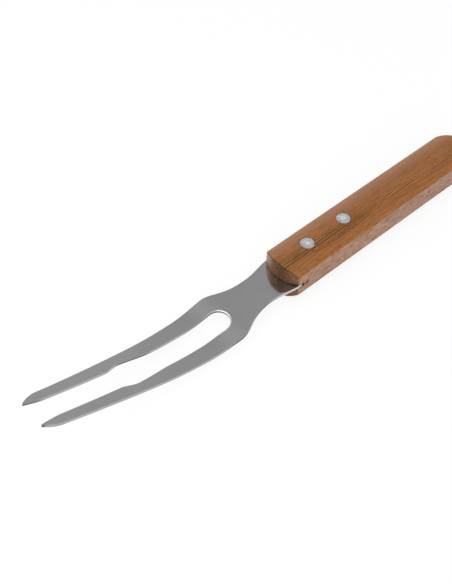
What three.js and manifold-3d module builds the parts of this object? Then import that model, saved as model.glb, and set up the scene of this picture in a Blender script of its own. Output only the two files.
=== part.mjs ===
// A two-tined barbecue fork: a stamped and bent steel blade, riveted into a one-piece wooden handle.
// Millimetres, +Z up, +X towards the tips of the tines. The fork lies on the handle's underside.
import * as THREE from 'three';
import { mergeVertices } from 'three/addons/utils/BufferGeometryUtils.js';
import Module from 'manifold-3d';

const wasm = await Module();
wasm.setup();

// Handle.
const handleLength = 139; // from its front corners to its rear corners
const handleWidth = 25;
const sideHeight = 13.7; // flat side faces
const crownRise = 4.6; // how far the top and the underside swell past the side faces
const endBulge = 4.5; // how far each arc-shaped end stands out past its corners
const edgeRadius = 0.8; // along the four long edges

// Rivets: solid pins, sanded flush with the crown of the handle at both ends.
const rivetDiameter = 8.1;
const rivetSetback = 17.4; // front rivet, behind the handle's front corners
const rivetPitch = 27.7;

// Blade: a flat blank, cut to an outline and then bent. Lengths run along the sheet and follow each
// other from the line through the handle's front corners towards the tips.
const sheetThickness = 1.8;
const sheetDrop = 0.46; // middle of the sheet below the middle of the handle
const neckLength = 18; // to the narrowest place
const neckWidth = 19.5;
const flareReach = 6; // how long the flare at the handle keeps its own direction
const flareNarrowing = 0.45; // of each edge over that reach
const neckReach = 6; // how long the neck keeps its width towards the handle
const shoulderLength = 26.4; // from the narrowest to the widest place
const hollowReach = 16; // how long the neck keeps its width towards the shoulder
const shoulderReach = 8.2; // how long the shoulder keeps its width towards the neck
const webLength = 21.8; // from the narrowest place to the round end of the slot
const tineRootWidth = 9.9;
const tineHollow = 0.15; // hollow of each tine's outer edge

// Slot between the tines, with a notch that is cut into both inner edges.
const slotWidth = 12.9; // at its round end
const slotRun = 39.2; // from the centre of the round end to the notch
const slotNarrowing = 0.23; // of each edge over that run
const notchLength = 19.8; // to its deepest place
const notchDepth = 1.43;
const notchReach = 3.6; // how long it keeps level at both of its ends
const stepLength = 9.2; // from the deepest place to the end of the step
const stepHeight = 1.72;
const stepReach = 2.2; // how long the step takes to run out into the edge
const tineRun = 36; // from the step to where the point starts
const tineRunNarrowing = 0.1; // of each inner edge over that run
const tinePointWidth = 5.07; // of a tine where its point starts
const pointLength = 11.1;
const pointOffset = 1.55; // middle of the blunt tip, outside the line of the inner edge
const tipWidth = 0.4;
const outerPointBow = 1.75; // how far the outer edge bows out on its way to the tip
const innerPointBow = 0.35; // and the inner edge

// Bends of the sheet, in order towards the tips. The last one takes what is left of the length.
const levelLength = 15.7;
const downBendLength = 9.8;
const downBendTurn = -5.5; // degrees, as are the other turns
const dipLength = 28.3;
const bellyLength = 11.2;
const bellyTurn = 12.4;
const riseLength = 32.4;
const riseTurn = 9.8;
const sweepTurn = 4.3;

// Tang and the cuts that take it.
const tangWall = 4.4; // beside the rivets
const tangTailLength = 12; // behind the rear rivet's centre
const tangCorner = 3; // round corners of the tang's rear end
const flareSetback = 3.2; // how far the full width of the sheet goes into the handle
const kerfRunOut = 3.7; // how much deeper the saw kerf goes through both sides

// Clearances.
const flareClearance = 0.15; // flare edges inside the handle's side faces
const kerfClearance = 0.2; // above and below the sheet
const tangSideClearance = 0.5;
const tangEndClearance = 1.5;
const rivetClearance = 0.2; // all round the pin

// Facets.
const crownFacets = 17; // odd, so that one facet lies flat under the middle
const endFacets = 16;
const edgeFacets = 3;
const rivetFacets = 40;
const slotEndFacets = 10; // in a quarter circle
const cornerFacets = 6;
const stationStep = 2;

// Derived sizes.
const handleHalf = handleWidth / 2;
const handleHeight = sideHeight + 2 * crownRise;
const rivetRadius = rivetDiameter / 2;
const rivetStations = [-rivetSetback, -rivetSetback - rivetPitch];
const tangHalf = rivetRadius + tangWall;
const tangEnd = rivetStations[1] - tangTailLength;
const kerfEnd = -flareSetback - kerfRunOut;
const sheetMiddle = -sheetDrop;
const sheetHalf = sheetThickness / 2;

// Places on the blank: station along the sheet, half width across it.
const slotRadius = slotWidth / 2;
const flarePoint = [0, handleHalf - flareClearance];
const neckPoint = [neckLength, neckWidth / 2];
const shoulderPoint = [neckLength + shoulderLength, slotRadius + tineRootWidth];
const slotCentre = neckLength + webLength + slotRadius;
const slotPoint = [slotCentre, slotRadius];
const notchPoint = after(slotPoint, slotRun, -slotNarrowing);
const deepPoint = after(notchPoint, notchLength, notchDepth);
const stepPoint = after(deepPoint, stepLength, -stepHeight);
const innerPoint = after(stepPoint, tineRun, -tineRunNarrowing);
const outerPoint = after(innerPoint, 0, tinePointWidth);
const innerTip = after(innerPoint, pointLength, pointOffset - tipWidth / 2);
const outerTip = after(innerTip, 0, tipWidth);
const tipStation = innerTip[0];
const pastTip = tipStation + slotWidth; // where the cut of the slot ends, clear of the steel
const reach = handleLength + pastTip; // longer than any prism has to be

// Edges of the blank, each a curve of half width over station.
const flareCurve = curveThrough(
  flarePoint,
  after(flarePoint, flareReach, -flareNarrowing),
  after(neckPoint, -neckReach, 0),
  neckPoint,
);
const shoulderCurve = curveThrough(
  neckPoint,
  after(neckPoint, hollowReach, 0),
  after(shoulderPoint, -shoulderReach, 0),
  shoulderPoint,
);
const tineCurve = curveThrough(shoulderPoint, bowed(shoulderPoint, outerPoint, -tineHollow), outerPoint);
const outerPointCurve = curveThrough(outerPoint, bowed(outerPoint, outerTip, outerPointBow / 2), outerTip);
const notchCurve = curveThrough(
  notchPoint,
  after(notchPoint, notchReach, 0),
  after(deepPoint, -notchReach, 0),
  deepPoint,
);
const stepCurve = curveThrough(
  deepPoint,
  after(deepPoint, notchReach, 0),
  after(stepPoint, -stepReach, 0),
  stepPoint,
);
const innerPointCurve = curveThrough(innerPoint, bowed(innerPoint, innerTip, -innerPointBow / 2), innerTip);

const bentLength = levelLength + downBendLength + dipLength + bellyLength + riseLength;
const bends = [
  { length: levelLength, turn: 0 },
  { length: downBendLength, turn: downBendTurn },
  { length: dipLength, turn: 0 },
  { length: bellyLength, turn: bellyTurn },
  { length: riseLength, turn: riseTurn },
  { length: tipStation - bentLength, turn: sweepTurn },
];

// Outline helpers.

function after(point, length, widening) {
  return [point[0] + length, point[1] + widening];
}

function bowed(from, to, bow) {
  return [(from[0] + to[0]) / 2, (from[1] + to[1]) / 2 + 2 * bow];
}

function curveThrough(...points) {
  const vectors = points.map(([station, half]) => new THREE.Vector2(station, half));
  return vectors.length === 4
    ? new THREE.CubicBezierCurve(...vectors)
    : new THREE.QuadraticBezierCurve(...vectors);
}

// Half width of a curve at a station, found by halving, since stations rise along each curve.
function readCurve(curve, station) {
  let low = 0;
  let high = 1;
  for (let i = 0; i < 40; i += 1) {
    const middle = (low + high) / 2;
    if (curve.getPoint(middle).x < station) {
      low = middle;
    } else {
      high = middle;
    }
  }
  return curve.getPoint((low + high) / 2).y;
}

function readLine(from, to, station) {
  return THREE.MathUtils.mapLinear(station, from[0], to[0], from[1], to[1]);
}

function outerHalf(station) {
  if (station <= flarePoint[0]) return flarePoint[1];
  if (station <= neckPoint[0]) return readCurve(flareCurve, station);
  if (station <= shoulderPoint[0]) return readCurve(shoulderCurve, station);
  if (station <= outerPoint[0]) return readCurve(tineCurve, station);
  return readCurve(outerPointCurve, station);
}

function innerHalf(station) {
  if (station <= slotCentre) return Math.sqrt(Math.max(0, slotRadius ** 2 - (slotCentre - station) ** 2));
  if (station <= notchPoint[0]) return readLine(slotPoint, notchPoint, station);
  if (station <= deepPoint[0]) return readCurve(notchCurve, station);
  if (station <= stepPoint[0]) return readCurve(stepCurve, station);
  if (station <= innerPoint[0]) return readLine(stepPoint, innerPoint, station);
  return readCurve(innerPointCurve, station);
}

// Solids.

function solidFrom(geometry) {
  const bare = geometry.clone();
  bare.deleteAttribute('normal');
  bare.deleteAttribute('uv');
  const merged = mergeVertices(bare, 1e-4);
  const vertProperties = new Float32Array(merged.attributes.position.array);
  const triVerts = new Uint32Array(merged.index.array);
  return new wasm.Manifold(new wasm.Mesh({ numProp: 3, vertProperties, triVerts }));
}

function geometryFrom(solid) {
  const mesh = solid.getMesh();
  const geometry = new THREE.BufferGeometry();
  geometry.setAttribute('position', new THREE.Float32BufferAttribute(mesh.vertProperties, 3));
  geometry.setIndex(new THREE.Uint32BufferAttribute(mesh.triVerts, 1));
  const faceted = geometry.toNonIndexed();
  faceted.computeVertexNormals();
  return faceted;
}

function planPrism(shape, bottom, top) {
  const prism = new THREE.ExtrudeGeometry(shape, { depth: top - bottom, bevelEnabled: false });
  prism.translate(0, 0, bottom);
  return solidFrom(prism);
}

function uprightPin(station, radius) {
  const pin = new THREE.CylinderGeometry(radius, radius, 2 * handleHeight, rivetFacets);
  pin.rotateX(Math.PI / 2);
  pin.translate(station, 0, 0);
  return solidFrom(pin);
}

function arcPoints(centreX, centreY, radius, from, to, facets) {
  const points = [];
  for (let i = 0; i <= facets; i += 1) {
    const angle = from + ((to - from) * i) / facets;
    points.push(new THREE.Vector2(centreX + radius * Math.cos(angle), centreY + radius * Math.sin(angle)));
  }
  return points;
}

// Radius of an arc that rises by `rise` over a chord of two half widths.
function arcRadius(half, rise) {
  return (half * half + rise * rise) / (2 * rise);
}

// Handle.

// Cross-section in Y and Z: flat sides, crowned top and underside, eased long edges.
function handleSection() {
  const radius = arcRadius(handleHalf, crownRise);
  const crownCentre = handleHeight / 2 - radius;
  // The easing arc touches the side face and the crown from inside.
  const easeY = handleHalf - edgeRadius;
  const easeZ = crownCentre + Math.sqrt((radius - edgeRadius) ** 2 - easeY ** 2);
  const meet = Math.atan2(easeZ - crownCentre, easeY);
  const crown = arcPoints(0, crownCentre, radius, meet, Math.PI - meet, crownFacets);
  const right = arcPoints(easeY, easeZ, edgeRadius, 0, meet, edgeFacets).slice(0, -1);
  const left = right.map((p) => new THREE.Vector2(-p.x, p.y)).reverse();
  const upper = [...right, ...crown, ...left];
  const lower = upper.map((p) => new THREE.Vector2(-p.x, -p.y));
  return new THREE.Shape([...upper, ...lower]);
}

// A prism of the cross-section along X, longer than the handle at both ends.
function sectionPrism() {
  const prism = new THREE.ExtrudeGeometry(handleSection(), { depth: 2 * reach, bevelEnabled: false });
  const lengthwise = new THREE.Matrix4().makeBasis(
    new THREE.Vector3(0, 1, 0),
    new THREE.Vector3(0, 0, 1),
    new THREE.Vector3(1, 0, 0),
  );
  prism.applyMatrix4(lengthwise);
  prism.translate(-reach, 0, 0);
  return solidFrom(prism);
}

// Outline from above: straight sides and an arc at each end.
function handlePlan() {
  const radius = arcRadius(handleHalf, endBulge);
  const swing = Math.asin(handleHalf / radius);
  const front = arcPoints(endBulge - radius, 0, radius, -swing, swing, endFacets);
  const rear = front.map((p) => new THREE.Vector2(-handleLength - p.x, -p.y));
  return new THREE.Shape([...front, ...rear]);
}

// Outline of the tang from above, grown by the given clearances, up to the handle's front corners.
function tangPlan(sideClearance, endClearance) {
  const half = tangHalf + sideClearance;
  const back = tangEnd - endClearance;
  const turn = Math.PI / 2;
  const left = arcPoints(back + tangCorner, half - tangCorner, tangCorner, turn, 2 * turn, cornerFacets);
  const right = arcPoints(back + tangCorner, tangCorner - half, tangCorner, 2 * turn, 3 * turn, cornerFacets);
  return new THREE.Shape([...left, ...right, new THREE.Vector2(0, -half), new THREE.Vector2(0, half)]);
}

function makeHandle() {
  const kerfHalf = sheetHalf + kerfClearance;
  const kerf = new THREE.BoxGeometry(reach - kerfEnd, 2 * handleWidth, 2 * kerfHalf);
  kerf.translate((reach + kerfEnd) / 2, 0, sheetMiddle);
  const pocketPlan = tangPlan(tangSideClearance, tangEndClearance);
  let wood = sectionPrism().intersect(planPrism(handlePlan(), -handleHeight, handleHeight));
  wood = wood.subtract(solidFrom(kerf));
  wood = wood.subtract(planPrism(pocketPlan, sheetMiddle - kerfHalf, sheetMiddle + kerfHalf));
  for (const station of rivetStations) {
    wood = wood.subtract(uprightPin(station, rivetRadius + rivetClearance));
  }
  return wood;
}

function makeRivet(station) {
  return uprightPin(station, rivetRadius).intersect(sectionPrism());
}

// Blade.

// Place and direction of the middle of the sheet at a station: each bend is an arc of its own length,
// the first one also runs back into the handle, and the last one runs on past the tips.
function sheetAt(station) {
  let left = station;
  let x = 0;
  let z = sheetMiddle;
  let angle = 0;
  bends.forEach((bend, index) => {
    const most = index === bends.length - 1 ? left : Math.min(left, bend.length);
    const run = index === 0 ? most : Math.max(0, most);
    const turn = (THREE.MathUtils.degToRad(bend.turn) * run) / bend.length;
    const chord = turn === 0 ? run : (2 * run * Math.sin(turn / 2)) / turn;
    x += chord * Math.cos(angle + turn / 2);
    z += chord * Math.sin(angle + turn / 2);
    angle += turn;
    left -= run;
  });
  return { x, z, angle };
}

// Even steps between the stations where an edge or a bend changes.
function stationsThrough(breaks) {
  const stations = [breaks[0]];
  for (let i = 1; i < breaks.length; i += 1) {
    const from = breaks[i - 1];
    const run = breaks[i] - from;
    const count = Math.ceil(run / stationStep);
    for (let k = 1; k <= count; k += 1) stations.push(from + (run * k) / count);
  }
  return stations;
}

// A bent strip: a rectangle of the given half width and half thickness, carried along the sheet.
function bentStrip(stations, halfAt, halfThickness) {
  const corners = [];
  for (const station of stations) {
    const { x, z, angle } = sheetAt(station);
    const half = halfAt(station);
    for (const [side, face] of [[-1, -1], [1, -1], [1, 1], [-1, 1]]) {
      const lift = face * halfThickness;
      corners.push(x - lift * Math.sin(angle), side * half, z + lift * Math.cos(angle));
    }
  }
  const index = [0, 3, 2, 0, 2, 1];
  for (let i = 0; i + 1 < stations.length; i += 1) {
    for (let k = 0; k < 4; k += 1) {
      const a = 4 * i + k;
      const b = 4 * i + ((k + 1) % 4);
      index.push(a, b, b + 4, a, b + 4, a + 4);
    }
  }
  const end = 4 * (stations.length - 1);
  index.push(end, end + 1, end + 2, end, end + 2, end + 3);
  const geometry = new THREE.BufferGeometry();
  geometry.setAttribute('position', new THREE.Float32BufferAttribute(corners, 3));
  geometry.setIndex(index);
  return solidFrom(geometry);
}

function makeBlade() {
  const breaks = new Set([-flareSetback]);
  const edgePoints = [flarePoint, neckPoint, shoulderPoint, slotPoint, notchPoint, deepPoint, stepPoint];
  for (const point of [...edgePoints, innerPoint]) breaks.add(point[0]);
  let bendEnd = 0;
  for (const bend of bends) {
    bendEnd += bend.length;
    breaks.add(bendEnd);
  }
  const ordered = [...breaks].sort((a, b) => a - b);
  const sheet = bentStrip(stationsThrough(ordered), outerHalf, sheetHalf);

  const slotStations = [];
  for (let i = 0; i < slotEndFacets; i += 1) {
    const angle = ((i + 0.5) / slotEndFacets) * (Math.PI / 2);
    slotStations.push(slotCentre - slotRadius * Math.cos(angle));
  }
  const slotBreaks = ordered.filter((station) => station >= slotCentre);
  slotStations.push(...stationsThrough([...slotBreaks, pastTip]));
  const slot = bentStrip(slotStations, innerHalf, sheetThickness);

  const tang = planPrism(tangPlan(0, 0), sheetMiddle - sheetHalf, sheetMiddle + sheetHalf);
  let steel = sheet.add(tang).subtract(slot);
  for (const station of rivetStations) {
    steel = steel.subtract(uprightPin(station, rivetRadius + rivetClearance));
  }
  return steel;
}

// Assembly: the origin lies under the middle of the fork's length, on the surface it rests on.

const stainlessSteel = new THREE.MeshStandardMaterial({ color: 0x9a9a9a, roughness: 0.2, metalness: 1 });
const oiledWood = new THREE.MeshStandardMaterial({ color: 0xa06b42, roughness: 0.6, metalness: 0 });
const aluminium = new THREE.MeshStandardMaterial({ color: 0xc4c8cc, roughness: 0.4, metalness: 1 });

function piece(name, solid, material) {
  const mesh = new THREE.Mesh(geometryFrom(solid), material);
  mesh.name = name;
  return mesh;
}

const fork = new THREE.Group();
fork.name = 'barbecue_fork';
fork.add(piece('fork_blade', makeBlade(), stainlessSteel));
fork.add(piece('handle', makeHandle(), oiledWood));
['rivet_front', 'rivet_rear'].forEach((name, i) => {
  fork.add(piece(name, makeRivet(rivetStations[i]), aluminium));
});

const tip = sheetAt(tipStation);
const foremost = tip.x + sheetHalf * Math.sin(tip.angle);
const rearmost = -handleLength - endBulge;
fork.position.set(-(foremost + rearmost) / 2, 0, handleHeight / 2);

export default fork;
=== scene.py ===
"""Looks of a two-tined barbecue fork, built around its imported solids.

A polished steel blade, a crowned wooden handle and two aluminium rivets. Everything is in metres, in the
frame of the solids: +X towards the tips of the tines, +Z up, with the fork lying on its handle.
"""

import logging
import math
from dataclasses import astuple, dataclass, replace
from enum import Enum
from functools import partial, reduce
from typing import Any, Mapping, Sequence

import bmesh
import bpy
import numpy as np
from mathutils import Matrix, Vector, noise


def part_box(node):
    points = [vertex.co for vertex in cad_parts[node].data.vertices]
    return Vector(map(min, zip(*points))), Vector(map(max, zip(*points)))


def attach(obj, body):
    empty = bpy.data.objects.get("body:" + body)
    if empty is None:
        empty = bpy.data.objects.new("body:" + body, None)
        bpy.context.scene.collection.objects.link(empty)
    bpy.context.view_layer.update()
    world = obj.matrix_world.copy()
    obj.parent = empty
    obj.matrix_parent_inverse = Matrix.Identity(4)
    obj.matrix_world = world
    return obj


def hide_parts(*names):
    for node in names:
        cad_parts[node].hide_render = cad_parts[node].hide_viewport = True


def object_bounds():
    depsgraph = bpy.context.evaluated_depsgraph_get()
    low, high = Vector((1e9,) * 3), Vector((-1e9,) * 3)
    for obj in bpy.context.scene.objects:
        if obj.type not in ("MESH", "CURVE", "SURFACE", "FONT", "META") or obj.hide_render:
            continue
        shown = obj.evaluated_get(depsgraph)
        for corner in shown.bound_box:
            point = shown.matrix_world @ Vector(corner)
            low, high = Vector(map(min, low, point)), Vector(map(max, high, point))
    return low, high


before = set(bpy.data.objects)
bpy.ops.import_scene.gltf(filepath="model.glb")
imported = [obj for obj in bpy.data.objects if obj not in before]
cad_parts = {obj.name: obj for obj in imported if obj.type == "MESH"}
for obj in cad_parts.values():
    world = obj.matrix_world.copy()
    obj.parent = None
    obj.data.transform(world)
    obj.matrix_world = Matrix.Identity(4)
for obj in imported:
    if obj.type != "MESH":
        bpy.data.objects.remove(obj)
cad_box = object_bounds()

MM = 0.001
WELD = 0.0005 * MM
QUARTER_TURN = math.pi / 2
MIDDLE = (0.5, 0.5, 0.5)
AXES = 3
BODY = "root"
LOG = logging.getLogger("barbecue_fork")

Point = tuple[float, float]
Place = tuple[float, float, float]
Colour = tuple[float, float, float, float]
Faces = list[Sequence[int]]
Inputs = Mapping[str | int, Any]
Socket = bpy.types.NodeSocket
Piece = bpy.types.Object


class Node(Enum):
    """Solids of the frame that the pieces of this scene stand for."""

    BLADE = "fork_blade"
    HANDLE = "handle"
    RIVET_FRONT = "rivet_front"
    RIVET_REAR = "rivet_rear"


class Slot(Enum):
    """Material slots of the record."""

    STEEL = "stainless_steel"
    WOOD = "oiled_wood"
    RIVET = "rivet_aluminium"


class Half(Enum):
    """The two mirror halves of the blade, by the sign of Y."""

    LEFT = 1.0
    RIGHT = -1.0


class EdgeTone(float, Enum):
    """How bright a cut edge of the sheet is painted. The tones are partly the edge's own finish and partly
    painted light: the darker ones are painted shade, for the shade that the edge mirrors, and the brightest
    ones are partly polish and partly a painted highlight.
    """

    # painted shade: the darkest, for edges that mirror deep shade
    DULL = 0.0
    # painted shade, lighter
    GROUND = 0.12
    CUT = 0.37
    BRIGHT = 0.59
    # partly polish, partly a painted highlight on the bevel
    POLISHED = 1.0


@dataclass(frozen=True)
class Pattern:
    """Smooth noise, drawn out along the fork: its size, and the number and strength of its finer layers."""

    along: float
    across: float
    detail: float = 2.0
    rough: float = 0.5


@dataclass(frozen=True)
class Ramp:
    """A smooth step: where it starts and ends, and the values that it holds before and after."""

    start: float
    end: float
    first: float = 0.0
    last: float = 1.0

    def moved(self, way: float) -> "Ramp":
        """The same step, further on."""
        return replace(self, start=self.start + way, end=self.end + way)


class Graph:
    """Adds and joins the nodes of one node tree."""

    def __init__(self, tree: bpy.types.NodeTree) -> None:
        """Takes a tree and empties it."""
        self.tree = tree
        tree.nodes.clear()

    def add(self, kind: str, inputs: Inputs | None = None, **settings: Any) -> bpy.types.Node:
        """Adds a node.

        Args:
            kind: Blender's name of the node type, without its ShaderNode prefix.
            inputs: values, or output sockets to join, by the input's name or place.
            settings: the node's own properties.

        Returns:
            The new node.
        """
        node = self.tree.nodes.new("ShaderNode" + kind)
        for name, value in settings.items():
            setattr(node, name, value)
        for key, value in (inputs or {}).items():
            if isinstance(value, Socket):
                self.tree.links.new(value, node.inputs[key])
            else:
                node.inputs[key].default_value = value
        return node

    def places(self, kind: str = "Object") -> Socket:
        """Places on the object in metres, or another of Blender's texture coordinates."""
        return self.add("TexCoord").outputs[kind]

    def axes(self, vector: Socket) -> Mapping[str, Socket]:
        """The parts of a vector, by the names X, Y and Z."""
        return self.add("SeparateXYZ", {0: vector}).outputs

    def vector(self, operation: str, first: Any, second: Any) -> Socket:
        """Joins two vectors by one of Blender's Vector Math operations."""
        return self.add("VectorMath", {0: first, 1: second}, operation=operation).outputs[0]

    def math(self, operation: str, first: Any, second: Any = 0.0) -> Socket:
        """Joins two values by one of Blender's Math operations."""
        return self.add("Math", {0: first, 1: second}, operation=operation).outputs[0]

    def plus(self, *values: Any) -> Socket:
        """The sum of values."""
        return reduce(partial(self.math, "ADD"), values)

    def times(self, *values: Any) -> Socket:
        """The product of values."""
        return reduce(partial(self.math, "MULTIPLY"), values)

    def off(self, value: Socket, middle: Any = 0.0) -> Socket:
        """How far a value lies from a middle, to either side."""
        return self.math("ABSOLUTE", self.math("SUBTRACT", value, middle))

    def step(self, value: Socket, ramp: Ramp) -> Socket:
        """Reads a ramp at a value."""
        limits = dict(zip(("From Min", "From Max", "To Min", "To Max"), astuple(ramp)))
        return self.add("MapRange", {"Value": value, **limits}, interpolation_type="SMOOTHSTEP").outputs[0]

    def noise(self, places: Socket, pattern: Pattern, output: int = 0) -> Socket:
        """Reads a pattern of noise.

        Args:
            places: where it is read, in metres.
            pattern: the pattern.
            output: 0 for a value, 1 for a colour.

        Returns:
            The noise there.
        """
        scale = (1.0 / pattern.along, 1.0 / pattern.across, 1.0 / pattern.across)
        return self.add("TexNoise", {
            "Vector": self.vector("MULTIPLY", places, scale),
            "Scale": 1.0,
            "Detail": pattern.detail,
            "Roughness": pattern.rough,
        }).outputs[output]

    def mix(self, share: Any, first: Any, second: Any, mode: str = "MIX") -> Socket:
        """Lays a share of the second colour over the first one, by one of Blender's blends."""
        return self.add("Mix", {0: share, 6: first, 7: second}, data_type="RGBA", blend_type=mode).outputs[2]

    def coats(self, ground: Any, *coats: tuple[Socket, Colour]) -> Socket:
        """Lays coats of colour over a ground.

        Args:
            ground: colour, or the socket that gives it.
            coats: share and colour of each coat, from the lowest to the highest.

        Returns:
            The colour that shows.
        """
        for share, colour in coats:
            ground = self.mix(share, ground, colour)
        return ground

    def bump(self, height: Socket, depth: float) -> Socket:
        """A normal that is tilted by a fine relief of the given depth in metres."""
        return self.add("Bump", {"Height": height, "Distance": depth, "Strength": 1.0}).outputs[0]


class Finish:
    """A finish that is made of nodes."""

    name: str

    def make(self) -> bpy.types.Material:
        """Builds the material.

        Returns:
            The new material.
        """
        material = bpy.data.materials.new(self.name)
        material.use_nodes = True
        graph = Graph(material.node_tree)
        graph.add("OutputMaterial", {"Surface": self.shader(graph).outputs[0]})
        return material

    def shader(self, graph: Graph) -> bpy.types.Node:
        """Adds the nodes of the finish, up to its shader."""
        raise NotImplementedError


@dataclass(frozen=True)
class PolishedSteel(Finish):
    """Stainless sheet: polished faces with a faint lengthwise grain and a painted highlight band, and cut
    edges from dark to bright, in tones that are partly the edge's finish and partly painted shade and
    highlight.
    """

    name: str = "polished_stainless_steel"
    colour: Colour = (0.57, 0.57, 0.57, 1.0)
    tint: Colour = (0.55, 0.546, 0.55, 1.0)
    # glint: colour of a painted highlight band across the faces
    glint: Colour = (0.645, 0.645, 0.645, 1.0)
    # edge_dull also darkens the grain; between it and edge_bright lie the edge tones, partly painted shade
    # and painted highlight
    edge_dull: Colour = (0.07, 0.07, 0.073, 1.0)
    edge_bright: Colour = (0.95, 0.95, 0.95, 1.0)
    edge_roughness: float = 0.32
    grain: Pattern = Pattern(7.0 * MM, 0.3 * MM, 3.0, 0.6)
    grain_roughness: Ramp = Ramp(0.3, 0.7, 0.10, 0.16)
    grain_shade: Ramp = Ramp(0.3, 0.7, 0.0, 0.06)
    grain_depth: float = 0.0016 * MM
    cloud: Pattern = Pattern(24.0 * MM, 24.0 * MM)
    cloud_share: Ramp = Ramp(0.4, 0.65)
    glint_middle: float = 40.5 * MM
    glint_share: Ramp = Ramp(0.0, 10.5 * MM, 1.0, 0.0)
    edge_layer: str = "cut_edge"
    tone_layer: str = "edge_tone"

    def shader(self, graph: Graph) -> bpy.types.Node:
        """Shades the faces, with a painted highlight band just before the sheet bends up, and the cut edges
        in their partly painted tones.

        Args:
            graph: the material's nodes.

        Returns:
            The shader.
        """
        places = graph.places()
        grain = graph.noise(places, self.grain)
        edge, tone = (
            graph.add("Attribute", attribute_name=layer).outputs["Fac"]
            for layer in (self.edge_layer, self.tone_layer)
        )
        face = graph.coats(
            self.colour,
            (graph.step(graph.noise(places, self.cloud), self.cloud_share), self.tint),
            # painted highlight band, just before the sheet bends up
            (graph.step(graph.off(graph.axes(places)["X"], self.glint_middle), self.glint_share), self.glint),
            (graph.step(grain, self.grain_shade), self.edge_dull),
        )
        polish = graph.step(grain, self.grain_roughness)
        rough = graph.add("Mix", {0: edge, 2: polish, 3: self.edge_roughness}, data_type="FLOAT")
        return graph.add("BsdfPrincipled", {
            # cut edges: partly painted shade, partly painted highlight
            "Base Color": graph.mix(edge, face, graph.mix(tone, self.edge_dull, self.edge_bright)),
            "Metallic": 1.0,
            "Roughness": rough.outputs[0],
            "Normal": graph.bump(grain, self.grain_depth),
        })


@dataclass(frozen=True)
class Kerf:
    """The saw cut that takes the blade: where it ends, and the middle and half of its height."""

    rear: float
    middle: float
    half: float


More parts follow.
